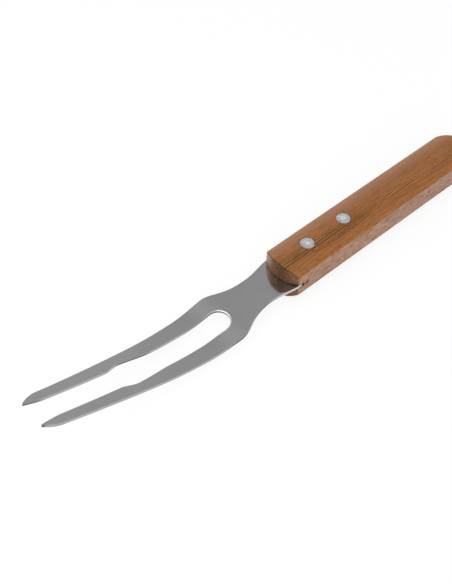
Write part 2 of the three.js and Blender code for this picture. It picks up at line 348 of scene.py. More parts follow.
@dataclass(frozen=True)
class OiledWood(Finish):
    """Orange-brown hardwood: fine streaks, one darker stripe, flecks and pores; sides paler from pale flecks
    and a painted sheen, and ends darker as end grain and from painted shade.
    """

    kerf: Kerf
    name: str = "oiled_hardwood"
    pale: Colour = (0.375, 0.139, 0.036, 1.0)
    warm: Colour = (0.34, 0.117, 0.025, 1.0)
    dark: Colour = (0.150, 0.049, 0.002, 1.0)
    pore: Colour = (0.08, 0.028, 0.009, 1.0)
    fibre: Colour = (0.62, 0.33, 0.13, 1.0)
    # pale grey of pale flecks on the sides, and of a painted sheen there
    dust_and_sheen: Colour = (0.62, 0.50, 0.44, 1.0)
    # pale pink of a painted sheen, strongest towards -Y
    minus_y_sheen: Colour = (0.84, 0.46, 0.32, 1.0)
    # near black: for the specks on the ends, the dark line along their eased edges, and painted shade beside
    # and in the saw cut
    specks_and_shade: Colour = (0.012, 0.008, 0.006, 1.0)
    # darkens the ends: partly their real end grain, partly painted shade
    end_grain_and_shade: Colour = (0.58, 0.58, 0.58, 1.0)
    # pale grey of a painted sheen on the ends
    end_sheen: Colour = (0.60, 0.56, 0.57, 1.0)
    waver: Pattern = Pattern(80.0 * MM, 14.0 * MM, 0.5)
    waver_reach: float = 3.0 * MM
    cloud: Pattern = Pattern(60.0 * MM, 7.0 * MM)
    cloud_share: Ramp = Ramp(0.35, 0.65)
    streak: Pattern = Pattern(30.0 * MM, 2.2 * MM, rough=0.55)
    streak_shade: Ramp = Ramp(0.38, 0.68, 0.0, 0.2)
    streak_roughness: Ramp = Ramp(0.3, 0.7, 0.40, 0.55)
    comb_pitch: float = 1.05 * MM
    comb_lean: float = 0.7
    comb_sway: Pattern = Pattern(36.0 * MM, 3.0 * MM, 1.0)
    comb_turns: float = 0.9
    comb_patch: Pattern = Pattern(9.0 * MM, 2.0 * MM, 1.0)
    comb_strength: Ramp = Ramp(0.35, 0.62, 0.25, 1.0)
    comb_shade: Ramp = Ramp(-1.0, 0.0, 0.38, 0.0)
    comb_shine: Ramp = Ramp(0.0, 1.0, 0.0, 0.34)
    zone_middle: float = -0.5 * MM
    zone_strength: Ramp = Ramp(2.7 * MM, 9.0 * MM, 1.0, 0.35)
    stripe_middle: Ramp = Ramp(-47.0 * MM, -17.0 * MM, 5.2 * MM, 3.4 * MM)
    stripe_shade: Ramp = Ramp(0.0, 5.2 * MM, 0.60, 0.0)
    stripe_run: Ramp = Ramp(-85.0 * MM, -45.0 * MM, 0.35, 1.0)
    stripe_streaks: Ramp = Ramp(0.35, 0.62, 0.8, 1.2)
    grit: Pattern = Pattern(1.2 * MM, 0.6 * MM, 1.0)
    grit_shade: Ramp = Ramp(0.3, 0.7, 0.0, 0.3)
    fleck: Pattern = Pattern(4.4 * MM, 0.85 * MM, rough=0.6)
    fleck_share: Ramp = Ramp(0.46, 0.66)
    fleck_shade: Ramp = Ramp(0.0, 1.0, 0.12, 0.45)
    pores: Pattern = Pattern(4.0 * MM, 0.5 * MM, 1.0)
    pore_share: Ramp = Ramp(0.57, 0.68, 0.0, 0.5)
    side_facing: Ramp = Ramp(0.75, 0.95)
    dust_and_sheen_share: Ramp = Ramp(0.34, 0.66, 0.29, 0.06)
    minus_y_sheen_share: Ramp = Ramp(-10.0 * MM, 2.0 * MM, 0.11, 0.0)
    end_facing: Ramp = Ramp(0.45, 0.85)
    # ends facing -Y are darkened less: painted light falling from the -Y side
    end_share: Ramp = Ramp(-0.6, -0.1, 0.1, 1.0)
    end_speck: Pattern = Pattern(1.0 * MM, 1.0 * MM)
    end_speck_share: Ramp = Ramp(0.46, 0.58, 0.0, 0.6)
    # painted sheen on the ends, towards their sides, strongest towards -Y
    end_sheen_spread: Ramp = Ramp(3.0 * MM, 8.5 * MM)
    end_sheen_share: Ramp = Ramp(-1.0 * MM, 1.0 * MM, 0.17, 0.025)
    # painted shade on the front end, beside the saw cut, strongest towards +Y
    end_shade_height: Ramp = Ramp(1.0 * MM, 4.5 * MM, 0.6, 0.0)
    end_shade_spread: Ramp = Ramp(-4.0 * MM, 11.0 * MM, 0.2, 1.0)
    rim_facing: Ramp = Ramp(0.05, 0.3)
    rim_rise: Ramp = Ramp(0.35, 0.6, 0.0, 0.95)
    rim_speck: Ramp = Ramp(0.4, 0.55, 0.7, 1.0)
    # painted shade in the saw cut: black along it near the blade, dark at the saw's stop
    cut_shade_height: Ramp = Ramp(0.08 * MM, 0.50 * MM, 1.0, 0.0)
    cut_shade_run: Ramp = Ramp(2.6 * MM, 3.4 * MM)
    stop_start: Ramp = Ramp(-0.50 * MM, 0.0)
    stop_share: Ramp = Ramp(0.5 * MM, 1.3 * MM, 0.9, 0.0)
    specular: Ramp = Ramp(0.0, 1.0, 0.5, 0.3)
    refraction: float = 1.5
    relief: float = 0.02 * MM

    def shader(self, graph: Graph) -> bpy.types.Node:
        """Shades the long grain, then over it the sides with their painted sheen, the ends with their painted
        sheen and shade, and the painted shade in the saw cut.

        Args:
            graph: the material's nodes.

        Returns:
            The shader.
        """
        facing = graph.axes(graph.places("Normal"))
        side = graph.step(graph.off(facing["Y"]), self.side_facing)
        end = graph.step(graph.off(facing["X"]), self.end_facing)
        # where the ends are darkened: end grain and painted shade, less on their -Y corners, where light is
        # painted
        fibres = graph.times(end, graph.step(facing["Y"], self.end_share))
        places = self._wavering(graph)
        streak = graph.noise(places, self.streak)
        spots = graph.noise(places, self.fleck)
        specks = graph.noise(places, self.end_speck)
        pore = graph.step(graph.noise(places, self.pores), self.pore_share)
        flecks = graph.times(graph.step(side, self.fleck_shade), graph.step(spots, self.fleck_share))
        shade, shine = self._grain(graph, places, streak)
        long_grain = graph.coats(
            self.pale,
            (graph.step(graph.noise(places, self.cloud), self.cloud_share), self.warm),
            (graph.plus(shade, flecks), self.dark),
            (shine, self.fibre),
            (pore, self.pore),
            # sides paler: pale flecks, and a painted sheen
            (graph.times(side, graph.step(spots, self.dust_and_sheen_share)), self.dust_and_sheen),
            # paler towards -Y: painted sheen
            (graph.step(graph.axes(graph.places())["Y"], self.minus_y_sheen_share), self.minus_y_sheen),
        )
        # painted sheen and painted shade on the ends
        sheen_mark, end_shade_mark = (graph.times(end, share) for share in self._end_sheen_and_shade(graph))
        rim = graph.times(
            graph.step(graph.off(facing["X"]), self.rim_facing),
            graph.step(graph.off(facing["Z"]), self.rim_rise),
            graph.step(specks, self.rim_speck),
        )
        # painted shade in the saw cut
        cut_shade, stop_shade = self._kerf_shade(graph)
        colour = graph.coats(
            # ends darker: end grain and painted shade
            graph.mix(fibres, long_grain, self.end_grain_and_shade, "MULTIPLY"),
            (graph.times(fibres, graph.step(specks, self.end_speck_share)), self.specks_and_shade),
            # painted sheen on the ends
            (sheen_mark, self.end_sheen),
            # painted shade beside the saw cut
            (end_shade_mark, self.specks_and_shade),
            (rim, self.specks_and_shade),
            # painted shade at the saw's stop, then black painted shade near the blade
            (stop_shade, self.pore),
            (cut_shade, self.specks_and_shade),
        )
        return graph.add("BsdfPrincipled", {
            "Base Color": colour,
            "Roughness": graph.step(streak, self.streak_roughness),
            "IOR": self.refraction,
            "Specular IOR Level": graph.step(end, self.specular),
            "Normal": graph.bump(graph.math("SUBTRACT", streak, pore), self.relief),
        })

    def _wavering(self, graph: Graph) -> Socket:
        """Places pushed a little to and fro, so that the grain wanders along the handle.

        Args:
            graph: the material's nodes.

        Returns:
            The pushed places.
        """
        places = graph.places()
        sway = graph.vector("SUBTRACT", graph.noise(places, self.waver, 1), MIDDLE)
        push = graph.vector("MULTIPLY", sway, (0.0, self.waver_reach, self.waver_reach))
        return graph.vector("ADD", places, push)

    def _comb(self, graph: Graph, places: Socket) -> Socket:
        """Fine, nearly even lines of the fibres, which come and go in patches.

        Args:
            graph: the material's nodes.
            places: wavering places in metres.

        Returns:
            A value from -1 in the dark lines to 1 in the pale ones.
        """
        place = graph.axes(places)
        across = graph.plus(place["Y"], graph.times(place["Z"], self.comb_lean))
        sway = graph.times(graph.noise(places, self.comb_sway), self.comb_turns)
        turns = graph.plus(graph.math("DIVIDE", across, self.comb_pitch), sway)
        wave = graph.math("SINE", graph.times(turns, 2 * math.pi))
        return graph.times(wave, graph.step(graph.noise(places, self.comb_patch), self.comb_strength))

    def _grain(self, graph: Graph, places: Socket, streak: Socket) -> tuple[Socket, Socket]:
        """Lines of the grain, which are strongest along the middle of the top, one dark stripe, and grit.

        Args:
            graph: the material's nodes.
            places: wavering places in metres.
            streak: the soft streaks of the grain.

        Returns:
            The share of the dark colour and the share of the pale fibres.
        """
        place = graph.axes(places)
        zone = graph.step(graph.off(place["Y"], self.zone_middle), self.zone_strength)
        comb = self._comb(graph, places)
        lines = graph.plus(graph.step(streak, self.streak_shade), graph.step(comb, self.comb_shade))
        off_stripe = graph.off(place["Y"], graph.step(place["X"], self.stripe_middle))
        stripe = graph.times(
            graph.step(off_stripe, self.stripe_shade),
            graph.step(place["X"], self.stripe_run),
            graph.step(streak, self.stripe_streaks),
        )
        grit = graph.step(graph.noise(places, self.grit), self.grit_shade)
        shade = graph.plus(graph.times(zone, lines), stripe, grit)
        return shade, graph.times(zone, graph.step(comb, self.comb_shine))

    def _end_sheen_and_shade(self, graph: Graph) -> tuple[Socket, Socket]:
        """Painted light on an end: a painted sheen towards its two sides, and painted shade beside the saw
        cut.

        Args:
            graph: the material's nodes.

        Returns:
            The share of the painted sheen and the share of the painted shade.
        """
        place = graph.axes(graph.places())
        sheen_mark = graph.times(
            graph.step(graph.off(place["Y"]), self.end_sheen_spread),
            graph.step(place["Y"], self.end_sheen_share),
        )
        # painted shade by the saw cut, on the front end only
        end_shade_mark = graph.times(
            graph.step(graph.off(place["Z"], self.kerf.middle), self.end_shade_height),
            graph.step(place["Y"], self.end_shade_spread),
            graph.math("GREATER_THAN", place["X"], self.kerf.rear),
        )
        return sheen_mark, end_shade_mark

    def _kerf_shade(self, graph: Graph) -> tuple[Socket, Socket]:
        """How dark the wood is painted inside the saw cut: painted shade, black near the blade and dark at
        the saw's stop.

        Args:
            graph: the material's nodes.

        Returns:
            The share of the black painted shade and the share of the dark painted shade at the stop.
        """
        place = graph.axes(graph.places())
        within = graph.step(graph.off(place["Z"], self.kerf.middle), self.cut_shade_height.moved(self.kerf.half))
        run, start, stop = (
            graph.step(place["X"], ramp.moved(self.kerf.rear))
            for ramp in (self.cut_shade_run, self.stop_start, self.stop_share)
        )
        return graph.times(within, run), graph.times(within, start, stop)


@dataclass(frozen=True)
class PeenedAluminium(Finish):
    """Aluminium pin: hammered over and sanded, with bright and dull spots and matt marks of the blows."""

    name: str = "peened_aluminium"
    bright: Colour = (0.97, 0.97, 0.97, 1.0)
    dull: Colour = (0.71, 0.745, 0.78, 1.0)
    hammered: Ramp = Ramp(0.08, 0.32, 1.0, 0.0)
    spot: Pattern = Pattern(1.4 * MM, 1.4 * MM, 3.0, 0.6)
    spot_bright: Ramp = Ramp(0.35, 0.65)
    spot_rough: Ramp = Ramp(0.35, 0.6, 0.3, 1.0)
    scratch: Pattern = Pattern(2.2 * MM, 0.12 * MM)
    scratch_rough: Ramp = Ramp(0.4, 0.7, 0.0, 0.4)
    scratch_height: float = 0.25
    blow: Pattern = Pattern(2.0 * MM, 1.0 * MM, rough=0.6)
    blow_matt: Ramp = Ramp(0.42, 0.56, 0.0, 0.6)
    roughness: Ramp = Ramp(0.0, 1.0, 0.3, 0.64)
    relief: float = 0.07 * MM

    def shader(self, graph: Graph) -> bpy.types.Node:
        """Shades the sanded end, with the hammered spots in its middle.

        Args:
            graph: the material's nodes.

        Returns:
            The shader.
        """
        places = graph.places()
        spots, scratches, blows = (
            graph.noise(places, pattern) for pattern in (self.spot, self.scratch, self.blow)
        )
        centred = graph.vector("SUBTRACT", graph.places("Generated"), MIDDLE)
        flat = graph.vector("MULTIPLY", centred, (1.0, 1.0, 0.0))
        distance = graph.add("VectorMath", {0: flat}, operation="LENGTH").outputs["Value"]
        middle = graph.step(distance, self.hammered)
        hammered = graph.times(middle, graph.step(spots, self.spot_rough))
        rough = graph.math("MAXIMUM", hammered, graph.step(scratches, self.scratch_rough))
        matt = graph.times(middle, graph.step(blows, self.blow_matt))
        height = graph.plus(spots, graph.times(scratches, self.scratch_height))
        return graph.add("BsdfPrincipled", {
            "Base Color": graph.mix(graph.step(spots, self.spot_bright), self.dull, self.bright),
            "Metallic": graph.math("SUBTRACT", 1.0, matt),
            "Roughness": graph.step(rough, self.roughness),
            "Normal": graph.bump(height, self.relief),
        })


@dataclass(frozen=True)
class StudioWhite(Finish):
    """White floor of a photo studio. Its glow makes the background white and leaves the shadow visible."""

    name: str = "studio_white"
    colour: Colour = (0.64, 0.64, 0.64, 1.0)
    shaded: Colour = (0.16, 0.16, 0.16, 1.0)
    white: Colour = (1.0, 1.0, 1.0, 1.0)
    glow: float = 0.85

    def shader(self, graph: Graph) -> bpy.types.Node:
        """Shades the floor, which glows only where it is seen, straight or in a mirror.

        Args:
            graph: the material's nodes.

        Returns:
            The shader.
        """
        rays = graph.add("LightPath").outputs
        seen = graph.math("MAXIMUM", rays["Is Camera Ray"], rays["Is Glossy Ray"])
        seen = graph.math("MAXIMUM", seen, rays["Is Transmission Ray"])
        matt, faint = (
            graph.add("BsdfDiffuse", {"Color": colour}).outputs[0] for colour in (self.colour, self.shaded)
        )
        glow = graph.add("Emission", {"Color": self.white, "Strength": self.glow})
        lit = graph.add("AddShader", {0: faint, 1: glow.outputs[0]})
        return graph.add("MixShader", {0: seen, 1: matt, 2: lit.outputs[0]})


def add_object(name: str, data: bpy.types.ID) -> Piece:
    """Makes an object and puts it into the scene.

    Args:
        name: name of the object.
        data: its mesh, lamp or camera.

    Returns:
        The new object.
    """
    piece = bpy.data.objects.new(name, data)
    bpy.context.scene.collection.objects.link(piece)
    return piece


def mesh_object(
    name: str,
    vertices: Sequence[Sequence[float]],
    faces: Faces,
    layers: Mapping[str, np.ndarray] | None = None,
) -> Piece:
    """Makes a mesh object, welds what coincides, and turns its faces outwards.

    Args:
        name: name of the object.
        vertices: places in metres.
        faces: numbers of vertices, in order round each face.
        layers: named values for each vertex.

    Returns:
        The new object.
    """
    mesh = bpy.data.meshes.new(name)
    mesh.from_pydata(vertices, [], faces)
    for layer, values in (layers or {}).items():
        mesh.attributes.new(layer, "FLOAT", "POINT").data.foreach_set("value", values.ravel().tolist())
    work = bmesh.new()
    work.from_mesh(mesh)
    bmesh.ops.remove_doubles(work, verts=work.verts, dist=WELD)
    bmesh.ops.recalc_face_normals(work, faces=work.faces)
    work.to_mesh(mesh)
    work.free()
    return add_object(name, mesh)


def quads(first: Sequence[int], second: Sequence[int]) -> Faces:
    """Faces between two neighbouring rows of vertices."""
    return list(zip(first, second, second[1:], first[1:]))


def loft(rings: Sequence[Sequence[Place]]) -> tuple[list[Place], Faces]:
    """A skin over closed rings of places, open at both ends.

    Args:
        rings: the rings in order, with as many places each.

    Returns:
        The places and the faces.
    """
    sides = len(rings[0])
    numbers = [[*range(k, k + sides), k] for k in range(0, len(rings) * sides, sides)]
    faces = [face for pair in zip(numbers, numbers[1:]) for face in quads(*pair)]
    return [place for ring in rings for place in ring], faces


def circle(x: float, radius: float, sides: int) -> list[Point]:
    """Even places on a circle round a place on the X axis."""
    turns = [2 * math.pi * k / sides for k in range(sides)]
    return [(x + radius * math.cos(turn), radius * math.sin(turn)) for turn in turns]


def prism(name: str, outline: Sequence[Point], low: float, high: float) -> Piece:
    """An upright prism for cutting, from its outline in plan and the heights of its underside and top."""
    vertices, faces = loft([[(*place, height) for place in outline] for height in (low, high)])
    return mesh_object(name, vertices, [*faces, range(len(outline)), range(len(outline), len(vertices))])


def carve(body: Piece, cutters: Sequence[Piece]) -> None:
    """Cuts solids out of a body, and deletes them.

    Args:
        body: what is cut.
        cutters: what is taken out of it.
    """
    for cutter in cutters:
        cut = body.modifiers.new(cutter.name, "BOOLEAN")
        cut.operation = "DIFFERENCE"
        cut.solver = "EXACT"
        cut.object = cutter
    depsgraph = bpy.context.evaluated_depsgraph_get()
    carved = bpy.data.meshes.new_from_object(body.evaluated_get(depsgraph))
    body.modifiers.clear()
    body.data = carved
    for cutter in cutters:
        bpy.data.objects.remove(cutter)


def smooth(piece: Piece, sharp: float) -> None:
    """Shades a piece smooth, apart from edges that turn by more than an angle in degrees."""
    piece.data.shade_smooth()
    piece.data.set_sharp_from_angle(angle=math.radians(sharp))


def settle(piece: Piece, node: Node, material: bpy.types.Material) -> None:
    """Dresses a piece and makes it stand for its solid.

    Args:
        piece: the finished piece.
        node: the solid that it stands for.
        material: its finish.
    """
    piece.data.materials.clear()
    piece.data.materials.append(material)
    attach(piece, BODY)
    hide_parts(node.value)
    LOG.info("%s: %d faces, stands for %s", piece.name, len(piece.data.polygons), node.value)


def arc_radius(half: float, rise: float) -> float:
    """Radius of an arc with a given half width and rise."""
    return (half ** 2 + rise ** 2) / (2 * rise)


def arc_height(half: float, rise: float, across: float) -> float:
    """How far an arc stands out from the line between its ends, at a place across it."""
    radius = arc_radius(half, rise)
    return rise - radius + math.sqrt(radius ** 2 - across ** 2)


def after(point: Point, length: float, widening: float) -> Point:
    """The place that lies further along the sheet and further out."""
    return point[0] + length, point[1] + widening


def bezier(*points: Point, steps: int = 120) -> np.ndarray:
    """Points on a Bezier curve.

    Args:
        points: three or four control points.
        steps: number of steps along the curve.

    Returns:
        An array of one row for each point.
    """
    t = np.linspace(0.0, 1.0, steps + 1)[:, None]
    order = len(points) - 1
    shares = [math.comb(order, k) * t ** k * (1 - t) ** (order - k) for k in range(order + 1)]
    return np.sum([share * np.array(point) for share, point in zip(shares, points)], axis=0)


def bowed(start: Point, end: Point, bow: float) -> np.ndarray:
    """Points of a line between two places that bows out in its middle by a given amount."""
    return bezier(start, ((start[0] + end[0]) / 2, (start[1] + end[1]) / 2 + 2 * bow), end)


def eased(start: Point, end: Point, leave: float, arrive: float, narrowing: float = 0.0) -> np.ndarray:
    """Points of a line that leaves and arrives along the sheet, over two reaches, narrowing as it leaves."""
    return bezier(start, after(start, leave, -narrowing), after(end, -arrive, 0.0), end)


@dataclass(frozen=True)
class Datum:
    """Lines that sizes are counted from: the front corners, and the middle heights of handle and sheet."""

    corner_x: float
    middle_z: float
    sheet_z: float


@dataclass(frozen=True)
class RivetHoles:
    """Holes for the rivets: their places along the fork from the front corners, and their radius."""

    stations: tuple[float, ...]
    radius: float

    def cutters(self, datum: Datum, middle: float, reach: float, sides: int) -> list[Piece]:
        """Upright bars for cutting the holes, which reach equally far up and down from a middle height."""
        outlines = [circle(datum.corner_x + station, self.radius, sides) for station in self.stations]
        return [prism(f"hole_{k}", line, middle - reach, middle + reach) for k, line in enumerate(outlines)]


@dataclass(frozen=True)
class Bend:
    """One arc of the bent sheet: its length, and how far it turns up, in degrees."""

    length: float
    turn: float = 0.0


@dataclass(frozen=True)
class SideProfile:
    """Side view of the bent sheet: arcs that follow each other from the handle to the tips."""

    level: Bend = Bend(15.7 * MM)
    dive: Bend = Bend(9.8 * MM, -5.5)
    dip: Bend = Bend(28.3 * MM)
    belly: Bend = Bend(11.2 * MM, 12.4)
    rise: Bend = Bend(32.4 * MM, 9.8)
    sweep: Bend = Bend(64.15 * MM, 4.3)

    def bend(self, flat: np.ndarray, datum: Datum) -> np.ndarray:
        """Bends a flat blank into the fork's shape. The tang stays level with the first arc.

        Args:
            flat: rows of station along the sheet, place across it, and height over its middle.
            datum: lines of the fork.

        Returns:
            Rows of X, Y and Z.
        """
        left, across, lift = flat.T
        x, z, angle = datum.corner_x, datum.sheet_z, 0.0
        bends = astuple(self)
        for k, (length, turn) in enumerate(bends):
            most = left if k == len(bends) - 1 else np.minimum(left, length)
            run = most if k == 0 else np.maximum(most, 0.0)
            half_turn = math.radians(turn) * run / length / 2
            chord = run * np.sinc(half_turn / math.pi)
            x = x + chord * np.cos(angle + half_turn)
            z = z + chord * np.sin(angle + half_turn)
            angle = angle + 2 * half_turn
            left = left - run
        return np.column_stack((x - lift * np.sin(angle), across, z + lift * np.cos(angle)))


@dataclass(frozen=True)
class EdgeSpot:
    """A spot on an edge of the blank: its place, the way out of the steel, the easing and the tone.

    The easing reaches inwards by the radius. It is round, or a flat bevel, or between the two.
    """

    place: np.ndarray
    normal: np.ndarray
    radius: float = 0.0
    tone: float = 0.0
    bevel: float = 0.0


@dataclass(frozen=True)
class Edge:
    """One edge of the blank: its half widths, easing, tones and bevel, each at some stations along it."""

    line: np.ndarray
    out: float
    radii: Sequence[Point]
    tones: Sequence[Point]
    bevels: Sequence[Point] = ((0.0, 0.0),)
    probe: float = 0.05 * MM

    def spot(self, station: float) -> EdgeSpot:
        """The edge at a station.

        Args:
            station: length along the sheet.

        Returns:
            The spot there.
        """
        half, before, beyond = np.interp((station, station - self.probe, station + self.probe), *self.line.T)
        normal = self.out * np.array((before - beyond, 2 * self.probe))
        known = (float(np.interp(station, *zip(*values))) for values in (self.radii, self.tones, self.bevels))
        return EdgeSpot(np.array((station, half)), normal / np.linalg.norm(normal), *known)


@dataclass
class Blank:
    """Outline of the flat sheet, as half widths over stations along it."""

    handle_half: float
    rivet_end: float
    flare_gap: float = 0.1 * MM
    neck_length: float = 18.0 * MM
    neck_width: float = 19.5 * MM
    flare_reach: float = 6.0 * MM
    flare_narrowing: float = 0.45 * MM
    neck_reach: float = 6.0 * MM
    shoulder_length: float = 26.4 * MM
    hollow_reach: float = 16.0 * MM
    shoulder_reach: float = 8.2 * MM
    web_length: float = 21.8 * MM
    tine_root_width: float = 9.9 * MM
    tine_hollow: float = 0.15 * MM
    slot_width: float = 12.9 * MM
    slot_run: float = 39.2 * MM
    slot_narrowing: float = 0.23 * MM
    notch_length: float = 19.8 * MM
    notch_depth: float = 1.43 * MM
    notch_reach: float = 3.6 * MM
    step_length: float = 9.2 * MM
    step_height: float = 1.72 * MM
    step_reach: float = 2.2 * MM
    tine_run: float = 36.0 * MM
    tine_run_narrowing: float = 0.1 * MM
    tine_point_width: float = 5.07 * MM
    point_length: float = 11.1 * MM
    point_offset: float = 1.55 * MM
    tip_width: float = 0.4 * MM
    outer_point_bow: float = 0.875 * MM
    inner_point_bow: float = 0.175 * MM
    tang_half: float = 8.45 * MM
    tang_tail: float = 12.0 * MM
    tang_corner: float = 3.0 * MM
    tang_corner_points: int = 7
    tang_slope: float = 0.7 * MM
    flare_setback: float = 2.5 * MM
    edge_radius: float = 0.24 * MM
    point_edge_radius: float = 0.06 * MM
    slot_edge_radius: float = 0.62 * MM
    slot_edge_fade: float = 7.0 * MM
    tone_fade: float = 4.0 * MM

    def __post_init__(self) -> None:
        """Works out the places of the outline and its two edges."""
        self.slot_radius = self.slot_width / 2
        self.apex = self.neck_length + self.web_length
        self.slot_centre = self.apex + self.slot_radius
        self.tang_end = self.rivet_end - self.tang_tail
        self.flare = (0.0, self.handle_half - self.flare_gap)
        self.neck = (self.neck_length, self.neck_width / 2)
        self.shoulder = (self.neck_length + self.shoulder_length, self.slot_radius + self.tine_root_width)
        self.slot_side = (self.slot_centre, self.slot_radius)
        self.notch = after(self.slot_side, self.slot_run, -self.slot_narrowing)
        self.deep = after(self.notch, self.notch_length, self.notch_depth)
        self.step = after(self.deep, self.step_length, -self.step_height)
        self.inner_point = after(self.step, self.tine_run, -self.tine_run_narrowing)
        self.outer_point = after(self.inner_point, 0.0, self.tine_point_width)
        self.inner_tip = after(self.inner_point, self.point_length, self.point_offset - self.tip_width / 2)
        self.outer_tip = after(self.inner_tip, 0.0, self.tip_width)
        self.tip = self.inner_tip[0]
        self.outer = self._outer()
        self.inner = self._inner()

    def _outer(self) -> Edge:
        """The outside, from the tang's rear end to a tip.

        Returns:
            The edge.
        """
        turn = np.linspace(0.0, QUARTER_TURN, self.tang_corner_points)
        corner = np.column_stack((
            self.tang_end + self.tang_corner * (1.0 - np.cos(turn)),
            self.tang_half - self.tang_corner * (1.0 - np.sin(turn)),
        ))
        line = np.vstack((
            corner,
            [(-self.flare_setback - self.tang_slope, self.tang_half), (-self.flare_setback, self.flare[1])],
            eased(self.flare, self.neck, self.flare_reach, self.neck_reach, self.flare_narrowing),
            eased(self.neck, self.shoulder, self.hollow_reach, self.shoulder_reach),
            bowed(self.shoulder, self.outer_point, -self.tine_hollow),
            bowed(self.outer_point, self.outer_tip, self.outer_point_bow),
        ))
        fade, point = self.tone_fade, self.outer_point[0]
        # Painted light: the bright reach by the flare is partly a painted highlight, and the dark reach past
        # the neck and shoulder, and the tip, are painted shade that the edge would mirror.
        tones = (
            (self.neck_length - 2 * fade, EdgeTone.BRIGHT),
            (self.neck_length + fade, EdgeTone.DULL),
            (self.shoulder[0] + fade, EdgeTone.DULL),
            (self.shoulder[0] + 3 * fade, EdgeTone.CUT),
            (self.tip - fade / 2, EdgeTone.CUT),
            (self.tip, EdgeTone.DULL),
        )
        radii = ((point - fade, self.edge_radius), (point + fade, self.point_edge_radius))
        return Edge(line, 1.0, radii, tones)

    def _inner(self) -> Edge:
        """The inside, from the side of the slot's round end to a tip.

        Returns:
            The edge.
        """
        line = np.vstack((
            [self.slot_side],
            eased(self.notch, self.deep, self.notch_reach, self.notch_reach),
            eased(self.deep, self.step, self.notch_reach, self.step_reach),
            bowed(self.inner_point, self.inner_tip, -self.inner_point_bow),
        ))
        fade, round_end = self.tone_fade, self.slot_centre + self.slot_edge_fade
        # Painted shade: the slot's end, the notch's slope and the point are darker, for the shade that the
        # edge would mirror.
        tones = (
            (self.slot_centre + 2 * fade, EdgeTone.GROUND),
            (self.slot_centre + 5 * fade, EdgeTone.CUT),
            (self.notch[0], EdgeTone.CUT),
            (self.notch[0] + fade, EdgeTone.GROUND),
            (self.deep[0], EdgeTone.GROUND),
            (self.deep[0] + fade, EdgeTone.CUT),
            (self.inner_point[0], EdgeTone.CUT),
            (self.inner_point[0] + fade, EdgeTone.GROUND),
        )
        radii = ((self.slot_centre, self.slot_edge_radius), (round_end, self.edge_radius))
        return Edge(line, -1.0, radii, tones, ((self.slot_centre, 1.0), (round_end, 0.0)))

    def slot_end(self, turn: float) -> EdgeSpot:
        """The edge of the slot's round end.

        Args:
            turn: angle from its deepest place, up to a right angle at its side.

        Returns:
            The spot there.
        """
        normal = np.array((math.cos(turn), -math.sin(turn)))
        place = np.array((self.slot_centre, 0.0)) - self.slot_radius * normal
        # the slot's end: its wall in painted shade, and its bevel a painted highlight
        return EdgeSpot(place, normal, self.slot_edge_radius, EdgeTone.GROUND, 1.0)

    @staticmethod
    def middle(station: float) -> EdgeSpot:
        """The middle line at a station along the sheet, where there is no edge."""
        return EdgeSpot(np.array((station, 0.0)), np.zeros(2))


